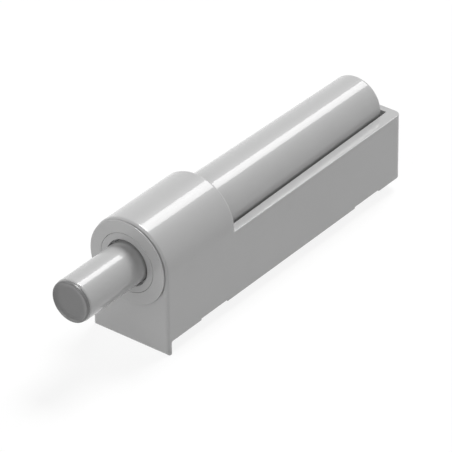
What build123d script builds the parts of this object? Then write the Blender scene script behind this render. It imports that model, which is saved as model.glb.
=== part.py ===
"""Soft close damper: a hydraulic cartridge held in a screw-on adapter housing.

Frame: X across the housing, +Y from the plunger towards the rear, +Z up. The origin is
the middle of the two screw holes, on the base plane. The damper's own axis runs along Y.
Inside the functions a place along the damper is its distance behind the housing's front
face, so the plunger, which stands out in front, has negative distances. Millimetres.
"""
from build123d import *
import os
from math import cos, pi, sin

# Adapter housing, outside
housing_width = 13.5
housing_length = 55.3
axis_height = 11.1
rim_drop = 0.4
collar_length = 15.4
lip_depth = 2.1
lip_thickness = 0.8
front_edge_radius = 0.5
rear_corner_radius = 1.2
collar_rear_radius = 0.4
lip_root_radius = 0.3
rim_edge_radius = 0.15

# Adapter housing, trough for the sleeve
trough_clearance = 0.3
trough_end_clearance = 0.8
rear_wall = 1.2
saddle_length = 3.0
saddle_half_width = 3.0
saddle_root = 1.0

# Adapter housing, screw holes and the reliefs across the base
front_screw_place = 21.7
screw_pitch = 25.0
screw_hole_radius = 1.9
screw_head_radius = 3.7
screw_head_depth = 1.0
front_relief_place = 10.5
relief_pitch = 36.2
relief_length = 6.0
relief_depth = 0.25

# Adapter housing, coring of the underside
core_wall = 1.5
core_rib = 1.2
core_ceiling = 1.3
screw_land_radius = 4.5
bays_per_span = 2

# Fits
push_clearance = 0.03
running_clearance = 0.04
ring_clearance = 0.02
stop_clearance = 0.05

# Damper sleeve, tapered towards its closed rear end
flange_inset = 0.2
flange_proud = 0.4
flange_edge_radius = 0.12
flange_step = 0.65
flange_gap_width = 0.2
flange_gap_depth = 0.35
flange_seat_depth = 0.85
sleeve_mouth_radius = 5.25
sleeve_end_radius = 4.46
sleeve_end_edge_radius = 0.45
sleeve_bore_gap = 0.25
sleeve_end_wall = 1.6

# Guide bush in the mouth of the sleeve
bush_wall = 0.86
bush_head_step = 0.4
bush_head_thickness = 1.0
bush_length = 6.0
bush_mouth_gap = 0.3
bush_mouth_depth = 0.8

# Plunger, which is the moving oil cylinder
plunger_radius = 3.3
plunger_stroke = 10.8
plunger_edge_radius = 0.3
plunger_end_wall = 2.4
cylinder_wall = 0.7
seal_bore_step = 0.2

# Buffer on the plunger's tip
tip_reach = 12.7
buffer_inset = 0.1
buffer_thickness = 0.45
buffer_edge_radius = 0.2
buffer_spigot_radius = 2.5
buffer_spigot_length = 0.4
buffer_stem_radius = 1.2
buffer_stem_length = 1.8
dish_radius = 2.95
dish_floor_radius = 2.1
dish_depth = 0.26

# Stack that closes the rear of the cylinder, from the oil chamber to the rear
separator_thickness = 0.75
separator_bore_gap = 0.2
separator_port_radius = 0.3
separator_port_count = 6
foam_length = 3.1
foam_bore_gap = 0.35
washer_thickness = 0.5
seal_length = 1.5
seal_lip_depth = 0.7
seal_lip_half_width = 0.3
guide_length = 2.6
o_ring_wire_radius = 0.4
cap_spigot_length = 1.0
cap_thickness = 1.2
cap_bore_gap = 0.3

# Piston rod and its anchor in the sleeve's closed end
rod_radius = 1.0
rod_shoulder = 0.2
rod_tip_length = 0.5
rod_tip_chamfer = 0.2
anchor_length = 1.7
anchor_gap = 0.3
anchor_chamfer = 0.3

# Piston, its ring and its valve
piston_length = 3.0
piston_port_radius = 0.3
piston_port_circle = 1.5
piston_port_count = 3
ring_width = 0.8
ring_depth = 0.5
ring_split = 0.25
valve_thickness = 0.3
valve_radius = 2.1

# Return spring, the seat that carries it and the clip that holds the seat
spring_wire_radius = 0.2
spring_mean_radius = 1.95
spring_turns = 11
seat_thickness = 0.6
seat_margin = 0.15
seat_boss_gap = 0.3
seat_boss_length = 0.95
clip_thickness = 0.35
clip_groove_depth = 0.2
clip_radius = 1.4
clip_mouth = 0.9

# Sizes that follow
half_width = housing_width / 2
rim_height = axis_height - rim_drop
rear_screw_place = front_screw_place + screw_pitch
origin_place = (front_screw_place + rear_screw_place) / 2
flange_radius = half_width - flange_inset
flange_seat_radius = flange_radius - flange_step
sleeve_end_place = housing_length - rear_wall - trough_end_clearance
sleeve_taper = (sleeve_mouth_radius - sleeve_end_radius) / sleeve_end_place
sleeve_bore_radius = plunger_radius + sleeve_bore_gap
bush_bore_radius = plunger_radius + running_clearance
bush_radius = bush_bore_radius + bush_wall
bush_head_radius = bush_radius + bush_head_step
cylinder_bore_radius = plunger_radius - cylinder_wall
seal_bore_radius = cylinder_bore_radius + seal_bore_step
stack_radius = seal_bore_radius - push_clearance
spigot_radius = rod_radius - rod_shoulder
piston_radius = cylinder_bore_radius - running_clearance

# Places that follow, as distances behind the front face, from the sleeve's closed end
# forwards along the rod and then along the stack in the cylinder
sleeve_bottom = sleeve_end_place - sleeve_end_wall
anchor_front = sleeve_bottom - anchor_length
cap_rear = anchor_front - anchor_gap - plunger_stroke
cylinder_rear = cap_rear - cap_thickness
guide_rear = cylinder_rear - cap_spigot_length
guide_front = guide_rear - guide_length
guide_middle = (guide_front + guide_rear) / 2
seal_front = guide_front - seal_length
washer_front = seal_front - washer_thickness
foam_front = washer_front - foam_length
separator_front = foam_front - separator_thickness
piston_rear = separator_front - stop_clearance
piston_front = piston_rear - piston_length
piston_middle = (piston_front + piston_rear) / 2
valve_rear = piston_front - stop_clearance
valve_front = valve_rear - valve_thickness
seat_rear = valve_front - stop_clearance
seat_front = seat_rear - seat_thickness
boss_front = seat_front - seat_boss_length
clip_front = boss_front - clip_thickness
rod_front = clip_front - rod_tip_length
plunger_front = buffer_thickness - tip_reach
chamber_front = plunger_front + plunger_end_wall


def sleeve_radius(place):
    """Outer radius of the tapered sleeve at a distance behind the front face."""
    return sleeve_mouth_radius - sleeve_taper * place


def turned(*outline):
    """Solid turned about the damper's axis from (place, radius) corners."""
    corners = [(radius, place) for place, radius in outline]
    return revolve(make_face(Polyline(*corners, close=True)), Axis.Y)


def ring(front, rear, outer, inner=0.0):
    """Plain turned ring or disc between two places."""
    return turned((front, inner), (front, outer), (rear, outer), (rear, inner))


def axial_holes(count, circle, radius, front, rear):
    """Round holes parallel to the damper's axis, evenly spaced on a circle."""
    hole = ring(front, rear, radius)
    turns = [2 * pi * index / count for index in range(count)]
    return [Pos(circle * cos(turn), 0, circle * sin(turn)) * hole for turn in turns]


def box_between(x_low, x_high, y_low, y_high, z_low, z_high):
    """Box between two corners."""
    size = (x_high - x_low, y_high - y_low, z_high - z_low)
    middle = ((x_low + x_high) / 2, (y_low + y_high) / 2, (z_low + z_high) / 2)
    return Pos(*middle) * Box(*size)


def at_place(edges, axis, place, tolerance=0.001):
    """The edges that lie wholly at one place along an axis."""
    return edges.filter_by_position(axis, place - tolerance, place + tolerance)


def to_base(shape):
    """Lifts a piece from the damper's own axis to its height over the base."""
    return Pos(0, 0, axis_height) * shape


def sleeve_room(clearance, front, rear):
    """Tapered space round the sleeve, with an even clearance."""
    return turned(
        (front, 0),
        (front, sleeve_radius(front) + clearance),
        (rear, sleeve_radius(rear) + clearance),
        (rear, 0),
    )


def housing_blank():
    """Collar, block and front lip as one outside form, with its rounded edges."""
    collar = to_base(ring(0, collar_length, half_width))
    block = box_between(-half_width, half_width, 0, housing_length, 0, rim_height)
    cheeks = box_between(-half_width, half_width, 0, collar_length, 0, axis_height)
    lip = box_between(-half_width, half_width, 0, lip_thickness, -lip_depth, axis_height)
    blank = collar + block + cheeks + lip

    blank = fillet(at_place(blank.edges(), Axis.Y, 0), front_edge_radius)
    uprights = blank.edges().filter_by(Axis.Z)
    blank = fillet(at_place(uprights, Axis.Y, housing_length), rear_corner_radius)
    collar_arc = at_place(blank.edges().filter_by(GeomType.CIRCLE), Axis.Y, collar_length)
    blank = fillet(collar_arc, collar_rear_radius)
    lip_root = at_place(at_place(blank.edges(), Axis.Z, 0), Axis.Y, lip_thickness)
    blank = fillet(lip_root, lip_root_radius)
    rims = at_place(blank.edges().filter_by(Axis.Y), Axis.Z, rim_height)
    return fillet(rims, rim_edge_radius)


def trough():
    """Space for the sleeve behind the collar, open above with upright sides."""
    rear = housing_length - rear_wall
    wide = sleeve_radius(collar_length) + trough_clearance
    narrow = sleeve_radius(rear) + trough_clearance
    plan = Polyline(
        (-wide, collar_length),
        (wide, collar_length),
        (narrow, rear),
        (-narrow, rear),
        close=True,
    )
    above = extrude(make_face(plan), housing_width)
    return to_base(sleeve_room(trough_clearance, collar_length, rear) + above)


def saddle():
    """Low pad on the trough's floor that carries the sleeve's rear end."""
    rear = housing_length - rear_wall
    front = rear - saddle_length
    floor = axis_height - sleeve_radius(front) - saddle_root
    pad = box_between(-saddle_half_width, saddle_half_width, front, rear, floor, axis_height)
    return pad - to_base(sleeve_room(push_clearance, front - 1, rear + 1))


def screw_holes():
    """Screw holes through the base, with room for the screw heads under the sleeve."""
    holes = []
    for place in (front_screw_place, rear_screw_place):
        floor = axis_height - sleeve_radius(place) - trough_clearance
        cone_top = floor - screw_head_depth
        cone_bottom = cone_top - (screw_head_radius - screw_hole_radius)
        section = Polyline(
            (0, -1),
            (screw_hole_radius, -1),
            (screw_hole_radius, cone_bottom),
            (screw_head_radius, cone_top),
            (screw_head_radius, axis_height),
            (0, axis_height),
            close=True,
        )
        hole = revolve(Plane.XZ * make_face(section), Axis.Z)
        holes.append(Pos(0, place, 0) * hole)
    return holes


def core_bays():
    """Front and rear of each cored bay of the underside, clear of the screw lands."""
    spans = (
        (lip_thickness + core_wall, front_screw_place - screw_land_radius),
        (front_screw_place + screw_land_radius, rear_screw_place - screw_land_radius),
    )
    bays = []
    for start, end in spans:
        length = (end - start - core_rib * (bays_per_span - 1)) / bays_per_span
        for index in range(bays_per_span):
            front = start + index * (length + core_rib)
            bays.append((front, front + length))
    return bays


def core_pockets():
    """Pockets under the trough, left and right of a middle rib, with an even ceiling."""
    side = half_width - core_wall
    top = rim_height - core_ceiling
    cover = core_ceiling + trough_clearance
    ceiling = to_base(sleeve_room(cover, -1, housing_length + 1))
    pockets = []
    for front, rear in core_bays():
        for low, high in ((-side, -core_rib / 2), (core_rib / 2, side)):
            pockets.append(box_between(low, high, front, rear, -1, top) - ceiling)
    return pockets


def base_reliefs():
    """Shallow reliefs across the whole base."""
    side = half_width + 1
    reliefs = []
    for place in (front_relief_place, front_relief_place + relief_pitch):
        front = place - relief_length / 2
        rear = place + relief_length / 2
        reliefs.append(box_between(-side, side, front, rear, -relief_depth, relief_depth))
    return reliefs


def adapter_housing():
    """Moulded housing: collar, trough, screw holes, cored underside and hooking lip."""
    seat_rear_place = flange_seat_depth + push_clearance
    flange_seat = ring(-1, seat_rear_place, flange_seat_radius + push_clearance)
    bore = sleeve_room(push_clearance, -1, collar_length + 1)
    housing = housing_blank() - to_base(flange_seat) - to_base(bore) - trough()
    housing += saddle()
    for cut in screw_holes() + core_pockets() + base_reliefs():
        housing -= cut
    return housing


def damper_sleeve():
    """Tapered outer sleeve, closed at the rear, with its flange and the bush's seat."""
    outside = sleeve_room(0, flange_seat_depth, sleeve_end_place)
    rear_edge = at_place(outside.edges(), Axis.Y, sleeve_end_place)
    outside = fillet(rear_edge, sleeve_end_edge_radius)
    flange = ring(-flange_proud, 0, flange_radius)
    flange = fillet(at_place(flange.edges(), Axis.Y, -flange_proud), flange_edge_radius)
    flange -= ring(-flange_gap_width, 1, half_width, flange_radius - flange_gap_depth)
    spigot = ring(0, flange_seat_depth, flange_seat_radius)
    bore = ring(-1, sleeve_bottom, sleeve_bore_radius)
    step_place = bush_head_thickness - flange_proud
    head_seat = ring(-1, step_place, bush_head_radius + push_clearance)
    bush_seat = ring(-1, bush_length - flange_proud, bush_radius + push_clearance)
    return outside + flange + spigot - bore - head_seat - bush_seat


def guide_bush():
    """Headed bush that guides the plunger, with a wider mouth round it."""
    front = -flange_proud
    head = ring(front, front + bush_head_thickness, bush_head_radius)
    barrel = ring(front, front + bush_length, bush_radius)
    bore = ring(front - 1, front + bush_length + 1, bush_bore_radius)
    mouth = ring(front - 1, front + bush_mouth_depth, plunger_radius + bush_mouth_gap)
    return head + barrel - bore - mouth


def plunger_cylinder():
    """Oil cylinder, closed at its front end, that slides in the bush and the sleeve."""
    outside = ring(plunger_front, cylinder_rear, plunger_radius)
    front_edge = at_place(outside.edges(), Axis.Y, plunger_front)
    outside = fillet(front_edge, plunger_edge_radius)
    chamber = ring(chamber_front, cylinder_rear, cylinder_bore_radius)
    seal_bore = ring(separator_front, cylinder_rear, seal_bore_radius)
    spigot_end = plunger_front + buffer_spigot_length + push_clearance
    spigot_seat = ring(plunger_front, spigot_end, buffer_spigot_radius + push_clearance)
    stem_end = plunger_front + buffer_stem_length + push_clearance
    stem_hole = ring(plunger_front, stem_end, buffer_stem_radius + push_clearance)
    return outside - chamber - seal_bore - spigot_seat - stem_hole


def buffer_cap():
    """Soft buffer on the plunger's tip: rounded rim, dished face, spigot and stem behind."""
    head = ring(-tip_reach, plunger_front, plunger_radius - buffer_inset)
    head = fillet(at_place(head.edges(), Axis.Y, -tip_reach), buffer_edge_radius)
    spigot_rear = plunger_front + buffer_spigot_length
    spigot = ring(plunger_front, spigot_rear, buffer_spigot_radius)
    stem = ring(plunger_front, plunger_front + buffer_stem_length, buffer_stem_radius)
    floor_place = dish_depth - tip_reach
    floor_edge = (dish_floor_radius, floor_place)
    mouth_edge = (dish_radius, -tip_reach)
    side = TangentArc(floor_edge, mouth_edge, tangent=(1, 0))
    rest = Polyline(mouth_edge, (0, -tip_reach), (0, floor_place), floor_edge)
    dish = revolve(make_face([side, rest]), Axis.Y)
    return head + spigot + stem - dish


def foam_separator():
    """Perforated disc between the oil chamber and the foam."""
    inner = rod_radius + separator_bore_gap
    disc = ring(separator_front, foam_front, stack_radius, inner)
    circle = (stack_radius + inner) / 2
    front = separator_front - 1
    rear = foam_front + 1
    for port in axial_holes(separator_port_count, circle, separator_port_radius, front, rear):
        disc -= port
    return disc


def compensator_foam():
    """Closed-cell foam sleeve that takes up the oil the rod pushes aside."""
    return ring(foam_front, washer_front, stack_radius, rod_radius + foam_bore_gap)


def seal_washer():
    """Thin washer that backs the rod seal."""
    return ring(washer_front, seal_front, stack_radius, rod_radius + separator_bore_gap)


def rod_seal():
    """Seal round the rod, with a lip groove towards the oil."""
    seal = ring(seal_front, guide_front, stack_radius, rod_radius + ring_clearance)
    middle = (stack_radius + rod_radius) / 2
    lip_groove = turned(
        (seal_front, middle - seal_lip_half_width),
        (seal_front, middle + seal_lip_half_width),
        (seal_front + seal_lip_depth, middle),
    )
    return seal - lip_groove


def rod_guide():
    """Guide for the rod, with an outside groove for its O-ring."""
    guide = ring(guide_front, guide_rear, stack_radius, rod_radius + running_clearance)
    half = o_ring_wire_radius + push_clearance
    floor = seal_bore_radius - 2 * o_ring_wire_radius
    return guide - ring(guide_middle - half, guide_middle + half, seal_bore_radius, floor)


def guide_o_ring():
    """O-ring that seals the rod guide in the cylinder, pressed a little flat outside."""
    centre = seal_bore_radius - o_ring_wire_radius
    wire = Pos(centre, guide_middle) * Circle(o_ring_wire_radius)
    half = 2 * o_ring_wire_radius
    room = ring(guide_middle - half, guide_middle + half, seal_bore_radius - ring_clearance)
    return revolve(wire, Axis.Y) & room


def cylinder_cap():
    """Rear cap of the cylinder; its rim runs in the sleeve's bore."""
    bore = rod_radius + cap_bore_gap
    rim = ring(cylinder_rear, cap_rear, sleeve_bore_radius - running_clearance, bore)
    spigot = ring(guide_rear, cylinder_rear, stack_radius, bore)
    return rim + spigot


def piston_rod():
    """Steel rod, thinner where it carries the piston, with a groove for the clip."""
    rod = ring(piston_rear, sleeve_bottom, rod_radius)
    spigot = ring(rod_front, piston_rear, spigot_radius)
    spigot = chamfer(at_place(spigot.edges(), Axis.Y, rod_front), rod_tip_chamfer)
    groove = ring(clip_front, boss_front, rod_radius, spigot_radius - clip_groove_depth)
    return rod + spigot - groove


def rod_anchor():
    """Plug in the sleeve's closed end that holds the rod's rear end."""
    outer = sleeve_bore_radius - push_clearance
    anchor = ring(anchor_front, sleeve_bottom, outer, rod_radius + ring_clearance)
    front_edges = at_place(anchor.edges(), Axis.Y, anchor_front)
    return chamfer(front_edges.sort_by(SortBy.LENGTH)[-1], anchor_chamfer)


def piston():
    """Piston with oil ports and a groove for its ring."""
    body = ring(piston_front, piston_rear, piston_radius, spigot_radius + ring_clearance)
    groove_front = piston_middle - ring_width / 2
    groove_rear = piston_middle + ring_width / 2
    body -= ring(groove_front, groove_rear, cylinder_bore_radius, piston_radius - ring_depth)
    front = piston_front - 1
    rear = piston_rear + 1
    for port in axial_holes(piston_port_count, piston_port_circle, piston_port_radius, front, rear):
        body -= port
    return body


def piston_ring():
    """Split ring in the piston's groove."""
    front = piston_middle - ring_width / 2 + ring_clearance
    rear = piston_middle + ring_width / 2 - ring_clearance
    outer = cylinder_bore_radius - ring_clearance
    inner = piston_radius - ring_depth + ring_clearance
    half = ring_split / 2
    split = box_between(-half, half, front, rear, 0, cylinder_bore_radius)
    return ring(front, rear, outer, inner) - split


def valve_disc():
    """Thin disc that covers the piston's ports while the plunger is pushed in."""
    return ring(valve_front, valve_rear, valve_radius, spigot_radius + running_clearance)


def spring_seat():
    """Seat that carries the return spring on the end of the rod."""
    bore = spigot_radius + ring_clearance
    seat_radius = spring_mean_radius + spring_wire_radius + seat_margin
    boss_radius = spring_mean_radius - spring_wire_radius - seat_boss_gap
    flange = ring(seat_front, seat_rear, seat_radius, bore)
    return flange + ring(boss_front, seat_front, boss_radius, bore)


def piston_clip():
    """Open clip in the rod's groove that keeps the piston and the seat on the rod."""
    front = clip_front + ring_clearance
    rear = boss_front - ring_clearance
    neck = spigot_radius - clip_groove_depth + ring_clearance
    half = clip_mouth / 2
    mouth = box_between(-half, half, front, rear, 0, clip_radius)
    return ring(front, rear, clip_radius, neck) - mouth


def return_spring():
    """Compression spring from the seat on the rod to the cylinder's closed end."""
    front = chamber_front + spring_wire_radius + stop_clearance
    rear = seat_front - spring_wire_radius - stop_clearance
    length = rear - front
    path = Helix(pitch=length / spring_turns, height=length, radius=spring_mean_radius)
    wire = Plane(origin=path @ 0, z_dir=path % 0) * Circle(spring_wire_radius)
    coil = sweep(wire, path=path, is_frenet=True)
    return Pos(0, front, 0) * Rot(-90, 0, 0) * coil


turned_pieces = (
    damper_sleeve,
    guide_bush,
    plunger_cylinder,
    buffer_cap,
    foam_separator,
    compensator_foam,
    seal_washer,
    rod_seal,
    rod_guide,
    guide_o_ring,
    cylinder_cap,
    piston_rod,
    rod_anchor,
    piston,
    piston_ring,
    valve_disc,
    spring_seat,
    piston_clip,
    return_spring,
)

os.makedirs("parts", exist_ok=True)
to_frame = Pos(0, -origin_place, 0)
export_step(to_frame * adapter_housing(), "parts/adapter_housing.step")
for make_piece in turned_pieces:
    export_step(to_frame * to_base(make_piece()), f"parts/{make_piece.__name__}.step")
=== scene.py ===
"""Soft close damper: the surfaces, finishes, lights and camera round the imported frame.

The scene is in metres in the part's own frame: X across the housing, +Y from the plunger
towards the rear, +Z up, origin between the two screw holes on the base plane. Sizes below
are in millimetres, and places along the damper are distances behind the housing's front
face, as in the part's source.
"""

from math import cos, radians, sin

import bmesh
import bpy
import numpy as np
from mathutils import Matrix, Vector


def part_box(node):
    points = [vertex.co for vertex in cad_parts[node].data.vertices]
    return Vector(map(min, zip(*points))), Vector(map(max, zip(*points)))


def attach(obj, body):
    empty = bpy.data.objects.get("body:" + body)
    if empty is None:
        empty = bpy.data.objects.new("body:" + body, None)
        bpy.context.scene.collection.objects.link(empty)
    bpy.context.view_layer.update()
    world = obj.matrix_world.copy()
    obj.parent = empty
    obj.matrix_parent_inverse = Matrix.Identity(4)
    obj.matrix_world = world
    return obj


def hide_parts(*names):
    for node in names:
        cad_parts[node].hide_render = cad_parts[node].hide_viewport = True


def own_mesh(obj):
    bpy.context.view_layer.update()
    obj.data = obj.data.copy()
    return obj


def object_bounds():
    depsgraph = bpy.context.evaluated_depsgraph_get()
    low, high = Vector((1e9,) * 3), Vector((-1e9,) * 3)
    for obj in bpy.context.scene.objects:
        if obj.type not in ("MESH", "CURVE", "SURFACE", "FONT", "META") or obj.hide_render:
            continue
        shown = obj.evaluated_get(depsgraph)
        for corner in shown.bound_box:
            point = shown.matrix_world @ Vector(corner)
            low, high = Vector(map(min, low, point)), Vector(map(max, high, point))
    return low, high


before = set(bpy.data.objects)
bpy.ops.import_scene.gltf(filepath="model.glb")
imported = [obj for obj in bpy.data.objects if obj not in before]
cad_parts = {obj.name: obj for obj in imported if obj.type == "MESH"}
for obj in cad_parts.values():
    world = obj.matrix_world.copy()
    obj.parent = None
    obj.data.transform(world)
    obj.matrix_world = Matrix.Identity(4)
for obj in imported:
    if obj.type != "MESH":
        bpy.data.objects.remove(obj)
cad_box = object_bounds()

MM = 0.001


def solid_box(node):
    """Lowest and highest corner of a solid at rest, in millimetres."""
    low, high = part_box(node)
    return np.array(low) / MM, np.array(high) / MM


# What the box of a solid gives is read from there
housing_low, _ = solid_box("adapter_housing")
sleeve_low, sleeve_high = solid_box("damper_sleeve")
_, bush_high = solid_box("guide_bush")
cylinder_low, cylinder_high = solid_box("plunger_cylinder")
buffer_low, buffer_high = solid_box("buffer_cap")
spring_low, spring_high = solid_box("return_spring")
separator_low, _ = solid_box("foam_separator")
_, anchor_high = solid_box("rod_anchor")
FRONT_FACE = housing_low[1]
AXIS_HEIGHT = (sleeve_low[2] + sleeve_high[2]) / 2

# Room round a piece that is pushed in, and round one that runs in another
PUSH_GAP = 0.03
RUNNING_GAP = 0.04

# Edge radii: where two cuts meet, on a crisp corner, on an eased one and on an open end
SHARP = 0.01
CRISP = 0.03
EASED = 0.06
BROKEN = 0.1

# Sleeve: its flange stands proud of the housing, on a spigot that seats in the collar. The
# gap behind the flange is 0.05 wider and 0.25 deeper than the solid's, so that it looks as
# dark as a real one does.
FLANGE_RADIUS = sleeve_high[0]
FLANGE_PROUD = FRONT_FACE - sleeve_low[1]
FLANGE_EDGE = 0.12
FLANGE_STEP = 0.65
FLANGE_SEAT_RADIUS = FLANGE_RADIUS - FLANGE_STEP
FLANGE_SEAT_DEPTH = 0.85
FLANGE_GAP_WIDTH = 0.25
FLANGE_GAP_STEP = 0.05
FLANGE_GAP_RADIUS = FLANGE_SEAT_RADIUS + FLANGE_GAP_STEP
SLEEVE_MOUTH_RADIUS = 5.25
SLEEVE_END_RADIUS = 4.46
SLEEVE_END_EDGE = 0.45
SLEEVE_END = sleeve_high[1] - FRONT_FACE
SLEEVE_BOTTOM = anchor_high[1] - FRONT_FACE
SLEEVE_BORE = anchor_high[0] + PUSH_GAP
SLEEVE_NARROWING = (SLEEVE_MOUTH_RADIUS - SLEEVE_END_RADIUS) * FLANGE_SEAT_DEPTH / SLEEVE_END
SLEEVE_SEAT_RADIUS = SLEEVE_MOUTH_RADIUS - SLEEVE_NARROWING

# Plunger: a cylinder that is closed in front, with a wider bore for the seals behind
PLUNGER_RADIUS = cylinder_high[0]
PLUNGER_EDGE = 0.3
PLUNGER_END_WALL = 2.4
PLUNGER_FRONT = cylinder_low[1] - FRONT_FACE
CYLINDER_REAR = cylinder_high[1] - FRONT_FACE
CYLINDER_WALL = 0.7
CHAMBER_FRONT = PLUNGER_FRONT + PLUNGER_END_WALL
CHAMBER_RADIUS = PLUNGER_RADIUS - CYLINDER_WALL
SEAL_BORE_STEP = 0.2
SEAL_BORE_FRONT = separator_low[1] - FRONT_FACE
SEAL_BORE_RADIUS = CHAMBER_RADIUS + SEAL_BORE_STEP

# Bush: head, barrel and a wider mouth round the plunger
BUSH_HEAD_RADIUS = bush_high[0]
BUSH_HEAD_STEP = 0.4
BUSH_HEAD_THICKNESS = 1.0
BUSH_HEAD_REAR = BUSH_HEAD_THICKNESS - FLANGE_PROUD
BUSH_RADIUS = BUSH_HEAD_RADIUS - BUSH_HEAD_STEP
BUSH_REAR = bush_high[1] - FRONT_FACE
BUSH_BORE = PLUNGER_RADIUS + RUNNING_GAP
BUSH_MOUTH_GAP = 0.3
BUSH_MOUTH_DEPTH = 0.8
BUSH_MOUTH_RADIUS = PLUNGER_RADIUS + BUSH_MOUTH_GAP
BUSH_MOUTH_REAR = BUSH_MOUTH_DEPTH - FLANGE_PROUD

# Buffer: a round rim about a shallow dish, with a spigot and a stem behind. The points on the
# dish's side stop at a share of its arc, because the rim's edge follows.
TIP_FRONT = buffer_low[1] - FRONT_FACE
TIP_RADIUS = buffer_high[0]
TIP_EDGE = 0.2
DISH_RIM = 0.25
DISH_RADIUS = TIP_RADIUS - DISH_RIM
DISH_FLOOR_RADIUS = 2.1
DISH_DEPTH = 0.26
DISH_POINTS = 9
DISH_ARC_SHARE = 0.95
SPIGOT_RADIUS = 2.5
SPIGOT_LENGTH = 0.4
SPIGOT_REAR = PLUNGER_FRONT + SPIGOT_LENGTH
STEM_RADIUS = 1.2
STEM_REAR = buffer_high[1] - FRONT_FACE

# Return spring, which stands on its seat at the rear end. Each of its ends is closed for a
# share of a turn and opens over another share.
WIRE_RADIUS = 0.2
COIL_RADIUS = spring_high[0] - WIRE_RADIUS
COIL_TURNS = 13.0
CLOSED_PITCH = 2.1 * WIRE_RADIUS
CLOSED_SHARE = 0.75
OPENING_SHARE = 0.5
SPRING_FRONT = spring_low[1] - FRONT_FACE
SPRING_REAR = spring_high[1] - FRONT_FACE

# Steps of the meshes: round a turned piece, along one turn of the coil, round its wire, and
# points on the arc of an edge
AROUND = 192
ALONG_TURN = 64
ROUND_WIRE = 14
ARC_POINTS = 7

# Distance of the holding point beside an edge, and the edge radius from which it is whole
HOLD = 0.04
WHOLE_HOLD_EDGE = 0.05

# Least half angle in radians, length and step that an outline is worked out with, and the
# distance in metres under which points of a mesh are one
LEAST_ANGLE = 1e-3
LEAST_LENGTH = 1e-9
LEAST_STEP = 1e-6
WELD = 1e-7


# Surfaces


def rounded(corners, closed):
    """Outline through (place, radius, edge radius) corners, each turned into an arc.

    Each arc touches both neighbouring lines at edge radius / tan(half the inner angle) from
    the corner, and its centre lies at edge radius / sin(half the inner angle) from it. A
    holding point beyond each touching point keeps the flats flat. It lies at HOLD, times
    edge radius / WHOLE_HOLD_EDGE on a smaller edge, or at a quarter of the flat between the
    two arcs where that is less. The two ends of an open outline stay as they are.
    """
    data = np.array(corners, float)
    point, edge = data[:, :2], data[:, 2]
    before, after = np.roll(point, 1, 0) - point, np.roll(point, -1, 0) - point
    span = np.linalg.norm(after, axis=1)
    before /= np.linalg.norm(before, axis=1, keepdims=True)
    after /= span[:, None]
    if not closed:
        edge = np.where(np.arange(len(edge)) % (len(edge) - 1) == 0, 0, edge)
    half = np.arccos(np.clip((before * after).sum(1), -1, 1)) / 2
    reach = edge / np.tan(np.maximum(half, LEAST_ANGLE))
    middle = before + after
    middle /= np.maximum(np.linalg.norm(middle, axis=1, keepdims=True), LEAST_LENGTH)
    centre = point + middle * (edge / np.sin(np.maximum(half, LEAST_ANGLE)))[:, None]
    first, last = point + before * reach[:, None], point + after * reach[:, None]
    start = np.arctan2(*(first - centre).T[::-1])
    sweep = np.arctan2(*(last - centre).T[::-1]) - start
    sweep = (sweep + np.pi) % (2 * np.pi) - np.pi
    angle = start[:, None] + sweep[:, None] * np.linspace(0, 1, ARC_POINTS)
    arc = centre[:, None] + edge[:, None, None] * np.stack((np.cos(angle), np.sin(angle)), 2)
    arc = np.where(edge[:, None, None] > 0, arc, point[:, None])
    flat = (span - reach - np.roll(reach, -1)) / 4
    wanted = HOLD * np.minimum(1, edge / WHOLE_HOLD_EDGE)
    ahead_of = np.minimum(wanted, np.roll(flat, 1))[:, None]
    behind = np.minimum(wanted, flat)[:, None]
    line = np.concatenate(
        ((first + before * ahead_of)[:, None], arc, (last + after * behind)[:, None]), axis=1
    )
    line = line.reshape(-1, 2)
    if not closed:
        line = line[1:-1]
    step = np.linalg.norm(line - np.roll(line, 1, 0), axis=1)
    return line[step > LEAST_STEP]


def mesh_object(name, points, faces, body, slot, *nodes):
    """Smooth mesh from arrays of points in metres and faces, welded at seams and poles, that
    rides on a body and replaces nodes. The slot argument is not used."""
    mesh = bpy.data.meshes.new(name)
    mesh.from_pydata(points.tolist(), [], faces.tolist())
    work = bmesh.new()
    work.from_mesh(mesh)
    bmesh.ops.remove_doubles(work, verts=work.verts, dist=WELD)
    bmesh.ops.recalc_face_normals(work, faces=work.faces)
    work.to_mesh(mesh)
    work.free()
    mesh.polygons.foreach_set("use_smooth", np.ones(len(mesh.polygons), bool))
    thing = bpy.data.objects.new(name, mesh)
    bpy.context.scene.collection.objects.link(thing)
    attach(thing, body)
    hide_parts(*nodes)
    return thing


def grid_faces(rows, columns, close_rows):
    """Quads of a grid of points, row after row. Point (row, column) is number
    row * columns + column, each row closes on itself, and where the rows close, the last
    joins the first."""
    down = np.arange(rows if close_rows else rows - 1)[:, None]
    low, high = down * columns, (down + 1) % rows * columns
    left = np.arange(columns)[None, :]
    right = (left + 1) % columns
    return np.stack((low + left, low + right, high + right, high + left), 2).reshape(-1, 4)


def turned(name, corners, closed, body, slot, *nodes):
    """Surface turned about the damper's axis.

    The outline point (place, radius) goes to (radius * sin t, place, axis + radius * cos t).
    """
    line = rounded(corners, closed)
    turn = np.linspace(0, 2 * np.pi, AROUND, endpoint=False)
    place, radius = line[:, :1], line[:, 1:]
    points = np.stack(
        (
            radius * np.sin(turn),
            place + FRONT_FACE + 0 * turn,
            AXIS_HEIGHT + radius * np.cos(turn),
        ),
        axis=2,
    )
    faces = grid_faces(len(line), AROUND, closed)
    return mesh_object(name, points.reshape(-1, 3) * MM, faces, body, slot, *nodes)


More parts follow.
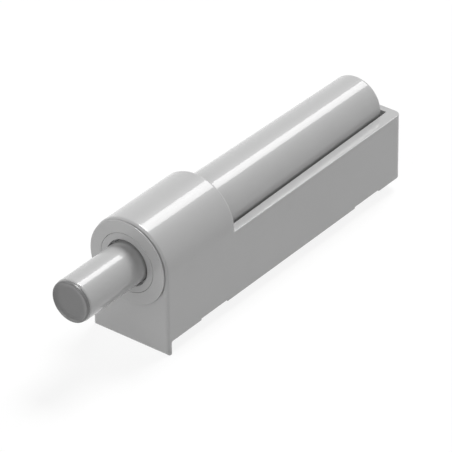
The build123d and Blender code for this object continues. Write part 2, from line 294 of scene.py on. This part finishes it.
def coil_spring(name, body, slot, *nodes):
    """Wire carried along a helix whose pitch falls to just over a wire's width at its ends.

    At turn t the wire's centre is at (coil radius * sin, place, coil radius * cos), and its
    place is the running sum of the pitch, which eases between its two values as 3 x**2 -
    2 x**3. Round the wire, the radius grows with cos(a) and the place with sin(a). A fan of
    triangles closes each end.
    """
    t = np.linspace(0, COIL_TURNS, int(COIL_TURNS * ALONG_TURN) + 1)
    from_end = np.minimum(t, COIL_TURNS - t)
    ends = np.clip(from_end - CLOSED_SHARE, 0, OPENING_SHARE) / OPENING_SHARE
    ease = ends * ends * (3 - 2 * ends)
    length = SPRING_REAR - SPRING_FRONT - 2 * WIRE_RADIUS
    share = np.concatenate(([0], np.cumsum((ease[1:] + ease[:-1]) / 2) / ALONG_TURN))
    open_pitch = (length - CLOSED_PITCH * COIL_TURNS) / share[-1]
    place = SPRING_FRONT + WIRE_RADIUS + CLOSED_PITCH * t + open_pitch * share
    wire = np.linspace(0, 2 * np.pi, ROUND_WIRE, endpoint=False)
    out = COIL_RADIUS + WIRE_RADIUS * np.cos(wire)
    turn = 2 * np.pi * t[:, None]
    points = np.stack(
        (
            out * np.sin(turn),
            place[:, None] + FRONT_FACE + WIRE_RADIUS * np.sin(wire) + 0 * turn,
            AXIS_HEIGHT + out * np.cos(turn),
        ),
        axis=2,
    )
    caps = points[[0, -1]].mean(1)
    points = np.concatenate((points.reshape(-1, 3), caps)) * MM
    sides = grid_faces(len(t), ROUND_WIRE, False)
    ring = np.arange(ROUND_WIRE)
    following = (ring + 1) % ROUND_WIRE
    last = (len(t) - 1) * ROUND_WIRE
    front_cap = np.stack((ring, following, 0 * ring + len(points) - 2), 1)
    rear_cap = np.stack((last + following, last + ring, 0 * ring + len(points) - 1), 1)
    faces = np.array([*sides.tolist(), *front_cap.tolist(), *rear_cap.tolist()], object)
    return mesh_object(name, points, faces, body, slot, *nodes)


sleeve = turned(
    "sleeve_surface",
    [
        (SLEEVE_END, 0, 0),
        (SLEEVE_END, SLEEVE_END_RADIUS, SLEEVE_END_EDGE),
        (FLANGE_SEAT_DEPTH, SLEEVE_SEAT_RADIUS, SHARP),
        (FLANGE_SEAT_DEPTH, FLANGE_SEAT_RADIUS, EASED),
        (0, FLANGE_SEAT_RADIUS, SHARP),
        (0, FLANGE_GAP_RADIUS, SHARP),
        (-FLANGE_GAP_WIDTH, FLANGE_GAP_RADIUS, SHARP),
        (-FLANGE_GAP_WIDTH, FLANGE_RADIUS, SHARP),
        (-FLANGE_PROUD, FLANGE_RADIUS, FLANGE_EDGE),
        (-FLANGE_PROUD, BUSH_HEAD_RADIUS + PUSH_GAP, EASED),
        (BUSH_HEAD_REAR, BUSH_HEAD_RADIUS + PUSH_GAP, SHARP),
        (BUSH_HEAD_REAR, BUSH_RADIUS + PUSH_GAP, CRISP),
        (BUSH_REAR, BUSH_RADIUS + PUSH_GAP, SHARP),
        (BUSH_REAR, SLEEVE_BORE, EASED),
        (SLEEVE_BOTTOM, SLEEVE_BORE, BROKEN),
        (SLEEVE_BOTTOM, 0, 0),
    ],
    False,
    "holder",
    "damper_grey",
    "damper_sleeve",
)
bush = turned(
    "bush_surface",
    [
        (-FLANGE_PROUD, BUSH_MOUTH_RADIUS, EASED),
        (-FLANGE_PROUD, BUSH_HEAD_RADIUS, EASED),
        (BUSH_HEAD_REAR, BUSH_HEAD_RADIUS, CRISP),
        (BUSH_HEAD_REAR, BUSH_RADIUS, SHARP),
        (BUSH_REAR, BUSH_RADIUS, BROKEN),
        (BUSH_REAR, BUSH_BORE, EASED),
        (BUSH_MOUTH_REAR, BUSH_BORE, EASED),
        (BUSH_MOUTH_REAR, BUSH_MOUTH_RADIUS, EASED),
    ],
    True,
    "holder",
    "bush_grey",
    "guide_bush",
)
plunger = turned(
    "plunger_surface",
    [
        (STEM_REAR + PUSH_GAP, 0, 0),
        (STEM_REAR + PUSH_GAP, STEM_RADIUS + PUSH_GAP, EASED),
        (SPIGOT_REAR + PUSH_GAP, STEM_RADIUS + PUSH_GAP, EASED),
        (SPIGOT_REAR + PUSH_GAP, SPIGOT_RADIUS + PUSH_GAP, CRISP),
        (PLUNGER_FRONT, SPIGOT_RADIUS + PUSH_GAP, CRISP),
        (PLUNGER_FRONT, PLUNGER_RADIUS, PLUNGER_EDGE),
        (CYLINDER_REAR, PLUNGER_RADIUS, BROKEN),
        (CYLINDER_REAR, SEAL_BORE_RADIUS, BROKEN),
        (SEAL_BORE_FRONT, SEAL_BORE_RADIUS, SHARP),
        (SEAL_BORE_FRONT, CHAMBER_RADIUS, EASED),
        (CHAMBER_FRONT, CHAMBER_RADIUS, BROKEN),
        (CHAMBER_FRONT, 0, 0),
    ],
    False,
    "plunger",
    "plunger_grey",
    "plunger_cylinder",
)
# The dish's side is an arc that leaves the flat floor level: for a wall of width w and depth
# d its radius is (w * w + d * d) / (2 * d), and it turns by twice the angle whose tangent is
# d / w.
dish_wall = DISH_RADIUS - DISH_FLOOR_RADIUS
dish_arc = (dish_wall**2 + DISH_DEPTH**2) / (2 * DISH_DEPTH)
dish_turn = 2 * np.arctan2(DISH_DEPTH, dish_wall) * np.linspace(0, DISH_ARC_SHARE, DISH_POINTS)
dish_places = TIP_FRONT + DISH_DEPTH - dish_arc * (1 - np.cos(dish_turn))
dish_radii = DISH_FLOOR_RADIUS + dish_arc * np.sin(dish_turn)
buffer = turned(
    "buffer_surface",
    [
        (TIP_FRONT + DISH_DEPTH, 0, 0),
        *zip(dish_places.tolist(), dish_radii.tolist(), [0] * DISH_POINTS),
        (TIP_FRONT, DISH_RADIUS, SHARP),
        (TIP_FRONT, TIP_RADIUS, TIP_EDGE),
        (PLUNGER_FRONT, TIP_RADIUS, EASED),
        (PLUNGER_FRONT, SPIGOT_RADIUS, CRISP),
        (SPIGOT_REAR, SPIGOT_RADIUS, EASED),
        (SPIGOT_REAR, STEM_RADIUS, EASED),
        (STEM_REAR, STEM_RADIUS, BROKEN),
        (STEM_REAR, 0, 0),
    ],
    False,
    "plunger",
    "buffer_rubber",
    "buffer_cap",
)
spring = coil_spring("spring_coil", "holder", "spring_steel", "return_spring")
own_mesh(spring)


# Finishes

# Sizes in millimetres of the soft patches of tone and of polish on a moulding, and of the
# patches of tone on steel
CLOUD_SIZE = 9.0
PATCH_SIZE = 4.0
STAIN_SIZE = 2.0

# Values that a noise texture mostly stays between, which give the two ends of a roughness
NOISE_LOW = 0.3
NOISE_HIGH = 0.7

# Sockets of a Mix node that mixes colours: its two colours and its result
MIX_FIRST = 6
MIX_SECOND = 7
MIX_RESULT = 2

# Weight, roughness and IOR of a moulding's skin: none, and the one that a polished mould
# leaves, so smooth that a lamp shows in it as a crisp strip
BARE = (0.0, 0.03, 1.5)
POLISHED = (1.0, 0.05, 1.5)


def linear(colour):
    """Linear red, green, blue and alpha of an sRGB hex colour: each value v up to 0.04045
    becomes v / 12.92, and each one above it ((v + 0.055) / 1.055) ** 2.4."""
    parts = np.array([int(colour[i : i + 2], 16) / 255 for i in (1, 3, 5)])
    low, high = parts / 12.92, ((parts + 0.055) / 1.055) ** 2.4
    return [*np.where(parts <= 0.04045, low, high).tolist(), 1.0]


def add(tree, kind, inputs=(), **settings):
    """Adds a node with its settings; each input is a value or another node's socket."""
    node = tree.nodes.new(kind)
    for key, value in settings.items():
        setattr(node, key, value)
    for key, value in dict(inputs).items():
        if isinstance(value, bpy.types.NodeSocket):
            tree.links.new(value, node.inputs[key])
        else:
            node.inputs[key].default_value = value
    return node


def material(name):
    """New empty node material and its tree."""
    made = bpy.data.materials.new(name)
    made.use_nodes = True
    made.node_tree.nodes.clear()
    return made, made.node_tree


def moulded(name, tones, roughness, ior, grain, waves, coat=BARE):
    """Moulded plastic or rubber: two close tones in cloudy patches, an uneven polish, a slow
    waviness where the melt shrank in the mould, and a fine grain from the mould's surface,
    all under a clear skin that stays smooth.

    Tones and roughness are the two ends that they drift between, grain and waves are
    (spacing, depth) in millimetres, and coat is the (weight, roughness, IOR) of the skin.
    """
    made, tree = material(name)
    place = add(tree, "ShaderNodeTexCoord").outputs["Object"]
    clouds = add(
        tree,
        "ShaderNodeTexNoise",
        {"Vector": place, "Scale": 1 / (CLOUD_SIZE * MM), "Detail": 3.0, "Roughness": 0.55},
    )
    tone = add(
        tree,
        "ShaderNodeMix",
        {0: clouds.outputs[0], MIX_FIRST: linear(tones[0]), MIX_SECOND: linear(tones[1])},
        data_type="RGBA",
    )
    patches = add(
        tree, "ShaderNodeTexNoise", {"Vector": place, "Scale": 1 / (PATCH_SIZE * MM), "Detail": 2.0}
    )
    rough = add(
        tree,
        "ShaderNodeMapRange",
        {
            "Value": patches.outputs[0],
            "From Min": NOISE_LOW,
            "From Max": NOISE_HIGH,
            "To Min": roughness[0],
            "To Max": roughness[1],
        },
    )
    slow = add(
        tree, "ShaderNodeTexNoise", {"Vector": place, "Scale": 1 / (waves[0] * MM), "Detail": 0.0}
    )
    fine = add(
        tree, "ShaderNodeTexNoise", {"Vector": place, "Scale": 1 / (grain[0] * MM), "Detail": 1.0}
    )
    swell = add(
        tree,
        "ShaderNodeBump",
        {"Height": slow.outputs[0], "Strength": 1.0, "Distance": waves[1] * MM},
    )
    skin = add(
        tree,
        "ShaderNodeBump",
        {
            "Height": fine.outputs[0],
            "Strength": 1.0,
            "Distance": grain[1] * MM,
            "Normal": swell.outputs[0],
        },
    )
    shader = add(
        tree,
        "ShaderNodeBsdfPrincipled",
        {
            "Base Color": tone.outputs[MIX_RESULT],
            "Roughness": rough.outputs[0],
            "IOR": ior,
            "Normal": skin.outputs[0],
            "Coat Weight": coat[0],
            "Coat Roughness": coat[1],
            "Coat IOR": coat[2],
        },
    )
    add(tree, "ShaderNodeOutputMaterial", {"Surface": shader.outputs[0]})
    return made


def steel(name, tones, roughness, lines, depth):
    """Bare steel: two close tones, an uneven polish and fine lines of a depth in millimetres,
    so many a millimetre along X, Y and Z."""
    made, tree = material(name)
    place = add(tree, "ShaderNodeTexCoord").outputs["Object"]
    scale = [count / MM for count in lines]
    stretched = add(tree, "ShaderNodeMapping", {"Vector": place, "Scale": scale}).outputs[0]
    marks = add(tree, "ShaderNodeTexNoise", {"Vector": stretched, "Scale": 1.0, "Detail": 3.0})
    clouds = add(
        tree, "ShaderNodeTexNoise", {"Vector": place, "Scale": 1 / (STAIN_SIZE * MM), "Detail": 2.0}
    )
    tone = add(
        tree,
        "ShaderNodeMix",
        {0: clouds.outputs[0], MIX_FIRST: linear(tones[0]), MIX_SECOND: linear(tones[1])},
        data_type="RGBA",
    )
    rough = add(
        tree,
        "ShaderNodeMapRange",
        {
            "Value": marks.outputs[0],
            "From Min": NOISE_LOW,
            "From Max": NOISE_HIGH,
            "To Min": roughness[0],
            "To Max": roughness[1],
        },
    )
    skin = add(
        tree,
        "ShaderNodeBump",
        {"Height": marks.outputs[0], "Strength": 1.0, "Distance": depth * MM},
    )
    shader = add(
        tree,
        "ShaderNodeBsdfPrincipled",
        {
            "Base Color": tone.outputs[MIX_RESULT],
            "Metallic": 1.0,
            "Roughness": rough.outputs[0],
            "Normal": skin.outputs[0],
        },
    )
    add(tree, "ShaderNodeOutputMaterial", {"Surface": shader.outputs[0]})
    return made


def paint(piece, made):
    """Gives a piece one finish, in place of whatever it came with."""
    piece.data.materials.clear()
    piece.data.materials.append(made)


# ABS from a polished mould. To the eye: an even, neutral light grey, a crisp white strip
# along each round back with a soft glow beside it, and flat sides that look almost matt. The
# mould's own grain is a few thousandths of a millimetre wide and is drawn at 0.12 mm, about
# one pixel. It is so shallow, and lies under so smooth a skin, that it hardly shows.
housing_abs = moulded(
    "housing_abs_polished",
    tones=("#B3B3B3", "#B9B9B9"),
    roughness=(0.40, 0.44),
    ior=1.5,
    grain=(0.12, 0.0002),
    waves=(3.0, 0.001),
    coat=POLISHED,
)
# The same ABS in the sleeve's deep round mould. To the eye: the same grey and gloss. The
# waves under its skin are slower, because a turned core shrinks evenly, and hardly show.
sleeve_abs = moulded(
    "sleeve_abs_polished",
    tones=("#B3B3B3", "#B9B9B9"),
    roughness=(0.40, 0.44),
    ior=1.5,
    grain=(0.12, 0.0002),
    waves=(4.0, 0.001),
    coat=POLISHED,
)
# Acetal from a polished mould, the natural choice for a sliding cylinder. To the eye: the
# grey and gloss of the ABS, a trace lighter, with a strip just as crisp. Its grain is drawn
# as coarse as the ABS's and hardly shows either.
plunger_acetal = moulded(
    "plunger_acetal_polished",
    tones=("#B4B4B4", "#B9B9B9"),
    roughness=(0.40, 0.44),
    ior=1.48,
    grain=(0.12, 0.0002),
    waves=(4.0, 0.001),
    coat=POLISHED,
)
# Acetal from a satin mould, for a bearing bush, matched to the photo. To the eye: a trace
# darker than the flange round it and as glossy, so that only a fine ring parts the two. The
# grain is drawn coarser than the real 0.02 mm, and deeper than on the polished pieces.
bush_acetal = moulded(
    "bush_acetal_satin",
    tones=("#B0B0B0", "#B6B6B6"),
    roughness=(0.39, 0.45),
    ior=1.48,
    grain=(0.12, 0.0005),
    waves=(3.0, 0.001),
    coat=POLISHED,
)
# Thermoplastic elastomer, moulded smooth. To the eye: a much darker grey than the plastics,
# a dull face and a soft, blurred light along its round edge. Its grain, about 0.03 mm on the
# real one, is drawn at 0.15 mm and even so hardly shows at the photo's size.
buffer_elastomer = moulded(
    "buffer_elastomer_smooth",
    tones=("#656565", "#6A6A6A"),
    roughness=(0.38, 0.46),
    ior=1.5,
    grain=(0.15, 0.001),
    waves=(2.0, 0.001),
    coat=(0.8, 0.16, 1.5),
)
# Natural acetal, moulded, for the small inner pieces. To the eye: milky warm white with a
# dull sheen. Grain drawn at 0.15 mm, coarser than the real one.
white_acetal = moulded(
    "acetal_white_moulded",
    tones=("#E4E3DE", "#ECEBE7"),
    roughness=(0.25, 0.35),
    ior=1.48,
    grain=(0.15, 0.001),
    waves=(2.0, 0.001),
)
# Nitrile rubber, moulded, for the seals. To the eye: near black with a dry, greyish sheen.
nitrile_rubber = moulded(
    "nitrile_rubber_black",
    tones=("#1B1B1C", "#242425"),
    roughness=(0.39, 0.51),
    ior=1.5,
    grain=(0.1, 0.002),
    waves=(1.0, 0.002),
)
# Closed-cell foam, cut from sheet, for the compensator. To the eye: flat mid grey, pitted
# where the knife opened its cells of 0.12 mm.
closed_cell_foam = moulded(
    "foam_closed_cell_grey",
    tones=("#6E6E6C", "#8C8C8A"),
    roughness=(0.67, 0.83),
    ior=1.4,
    grain=(0.12, 0.03),
    waves=(0.5, 0.02),
)
# Centreless-ground steel of the rod, its washer, valve and clip. To the eye: bright cool grey,
# with fine rings from the wheel that stretch each light across the rod. The rings are about
# 0.01 mm apart and are drawn at 0.03 mm to show.
rod_steel = steel(
    "rod_steel_ground",
    tones=("#B4B6B8", "#C6C8CA"),
    roughness=(0.15, 0.25),
    lines=(0.5, 30.0, 0.5),
    depth=0.0005,
)
# Drawn spring wire. To the eye: a darker grey than the rod's with a dull lustre and faint
# drawing marks a quarter of a millimetre apart, coarser than the die's, so that they show.
wire_steel = steel(
    "spring_steel_drawn",
    tones=("#8B8D90", "#9C9EA1"),
    roughness=(0.22, 0.34),
    lines=(4.0, 4.0, 4.0),
    depth=0.001,
)
PAINTED = (
    (housing_abs, ["adapter_housing"]),
    (rod_steel, ["piston_rod", "valve_disc", "seal_washer", "piston_clip"]),
    (white_acetal, ["piston", "piston_ring", "spring_seat", "rod_anchor", "rod_guide"]),
    (white_acetal, ["cylinder_cap", "foam_separator"]),
    (nitrile_rubber, ["rod_seal", "guide_o_ring"]),
    (closed_cell_foam, ["compensator_foam"]),
)
for finish, names in PAINTED:
    for name in names:
        paint(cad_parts[name], finish)
paint(sleeve, sleeve_abs)
paint(plunger, plunger_acetal)
paint(bush, bush_acetal)
paint(buffer, buffer_elastomer)
paint(spring, wire_steel)


# Camera and lights

# Camera as fitted to the photo: its place in metres, its turn round the part, its height
# above the horizon and its roll in degrees, its lens and sensor in millimetres, and the
# nearest and furthest that it sees in metres
CAMERA_PLACE = (0.307056, -0.402155, 0.326924)
CAMERA_AZIMUTH = 38.2268
CAMERA_ELEVATION = 32.9203
CAMERA_ROLL = -0.6907
LENS = 330.45
SENSOR_WIDTH = 36.0
CLIP_START = 0.01
CLIP_END = 20.0

# The middle of the part that the lamps face, and their distance from it, in metres. Each lamp
# is its name, its angles across and along in degrees, its width and height in metres and its
# radiance.
LAMP_TARGET = Vector((0, -0.01, 0.008))
LAMP_DISTANCE = 1.5
LAMPS = (
    ("rear_softbox", 1.0, 27.5, 0.59, 0.395, 22.0),
    ("key_softbox", 1.0, 41.5, 0.506, 0.33, 5.4),
    ("front_softbox", 0.0, -65.0, 0.97, 0.97, 1.95),
    ("left_softbox", -60.0, -40.0, 0.97, 0.97, 1.3),
    ("right_softbox", 60.0, -40.0, 0.97, 0.97, 0.3),
)

# The room's strength as light, the paper's colour, how far what is seen of it is lifted to
# white and how bright that white is, and the paper's reach each way in metres
ROOM_FILL = 0.08
PAPER_COLOUR = "#D8D8D8"
PAPER_LIFT = 0.8
PAPER_WHITE = 1.1
PAPER_REACH = 4.0


def placed(point, side, rise, back):
    """Matrix that puts a thing's origin at a point and turns its X, Y and Z to side, rise
    and back."""
    return Matrix.Translation(point) @ Matrix((side, rise, back)).transposed().to_4x4()


def softbox(name, across, along, width, height, radiance):
    """Rectangular lamp that faces the part: across is its angle from straight up towards
    +X, along its angle towards +Y, both in degrees. Its power is radiance * pi * width *
    height, so that at radiance 1 it looks white."""
    x_turn, y_turn = radians(across), radians(along)
    towards = Vector((cos(y_turn) * sin(x_turn), sin(y_turn), cos(y_turn) * cos(x_turn)))
    side = Vector((cos(x_turn), 0, -sin(x_turn)))
    data = bpy.data.lights.new(name, "AREA")
    data.shape = "RECTANGLE"
    data.size, data.size_y = width, height
    data.energy = radiance * np.pi * width * height
    lamp = bpy.data.objects.new(name, data)
    scene.collection.objects.link(lamp)
    place = LAMP_TARGET + towards * LAMP_DISTANCE
    lamp.matrix_world = placed(place, side, towards.cross(side), towards)


def sees_white(tree):
    """1 for a camera, glossy or transmission ray, which meets the white of the backdrop, and
    0 for one that only carries light."""
    path = add(tree, "ShaderNodeLightPath")
    direct = add(
        tree,
        "ShaderNodeMath",
        {0: path.outputs["Is Camera Ray"], 1: path.outputs["Is Glossy Ray"]},
        operation="MAXIMUM",
    )
    either = add(
        tree,
        "ShaderNodeMath",
        {0: direct.outputs[0], 1: path.outputs["Is Transmission Ray"]},
        operation="MAXIMUM",
    )
    return either.outputs[0]


scene = bpy.context.scene
scene.view_settings.view_transform = "Standard"

camera_data = bpy.data.cameras.new("camera")
camera = bpy.data.objects.new("camera", camera_data)
scene.collection.objects.link(camera)
camera_data.sensor_width = SENSOR_WIDTH
camera_data.lens = LENS
camera_data.clip_start, camera_data.clip_end = CLIP_START, CLIP_END
azimuth, elevation = radians(CAMERA_AZIMUTH), radians(CAMERA_ELEVATION)
roll = radians(CAMERA_ROLL)
right = Vector((cos(azimuth), sin(azimuth), 0))
ahead = Vector((-sin(azimuth) * cos(elevation), cos(azimuth) * cos(elevation), -sin(elevation)))
up = right.cross(ahead)
level = right * cos(roll) + up * sin(roll)
upright = up * cos(roll) - right * sin(roll)
camera.matrix_world = placed(CAMERA_PLACE, level, upright, -ahead)
scene.camera = camera

for lamp_row in LAMPS:
    softbox(*lamp_row)

# The room: white to the eye and in the gloss, and a faint fill as light
world = bpy.data.worlds.new("studio")
scene.world = world
world.use_nodes = True
tree = world.node_tree
tree.nodes.clear()
strength = add(
    tree, "ShaderNodeMapRange", {"Value": sees_white(tree), "To Min": ROOM_FILL, "To Max": 1.0}
)
sky = add(
    tree, "ShaderNodeBackground", {"Color": linear("#FFFFFF"), "Strength": strength.outputs[0]}
)
add(tree, "ShaderNodeOutputWorld", {"Surface": sky.outputs[0]})

# White paper on the floor. To the eye: plain white with the part's soft shadow, because what
# the camera and the gloss see of the paper is lifted most of the way to white.
paper, tree = material("backdrop_paper_white")
lift = add(tree, "ShaderNodeMath", {0: sees_white(tree), 1: PAPER_LIFT}, operation="MULTIPLY")
shaded = add(tree, "ShaderNodeBsdfDiffuse", {"Color": linear(PAPER_COLOUR)})
white = add(tree, "ShaderNodeEmission", {"Color": linear("#FFFFFF"), "Strength": PAPER_WHITE})
mixed = add(
    tree,
    "ShaderNodeMixShader",
    {0: lift.outputs[0], 1: shaded.outputs[0], 2: white.outputs[0]},
)
add(tree, "ShaderNodeOutputMaterial", {"Surface": mixed.outputs[0]})
floor_mesh = bpy.data.meshes.new("floor")
floor_z = cad_box[0].z
floor_signs = ((-1, -1), (1, -1), (1, 1), (-1, 1))
floor_corners = [(x * PAPER_REACH, y * PAPER_REACH, floor_z) for x, y in floor_signs]
floor_mesh.from_pydata(floor_corners, [], [(0, 1, 2, 3)])
floor_mesh.materials.append(paper)
floor = bpy.data.objects.new("floor", floor_mesh)
scene.collection.objects.link(floor)
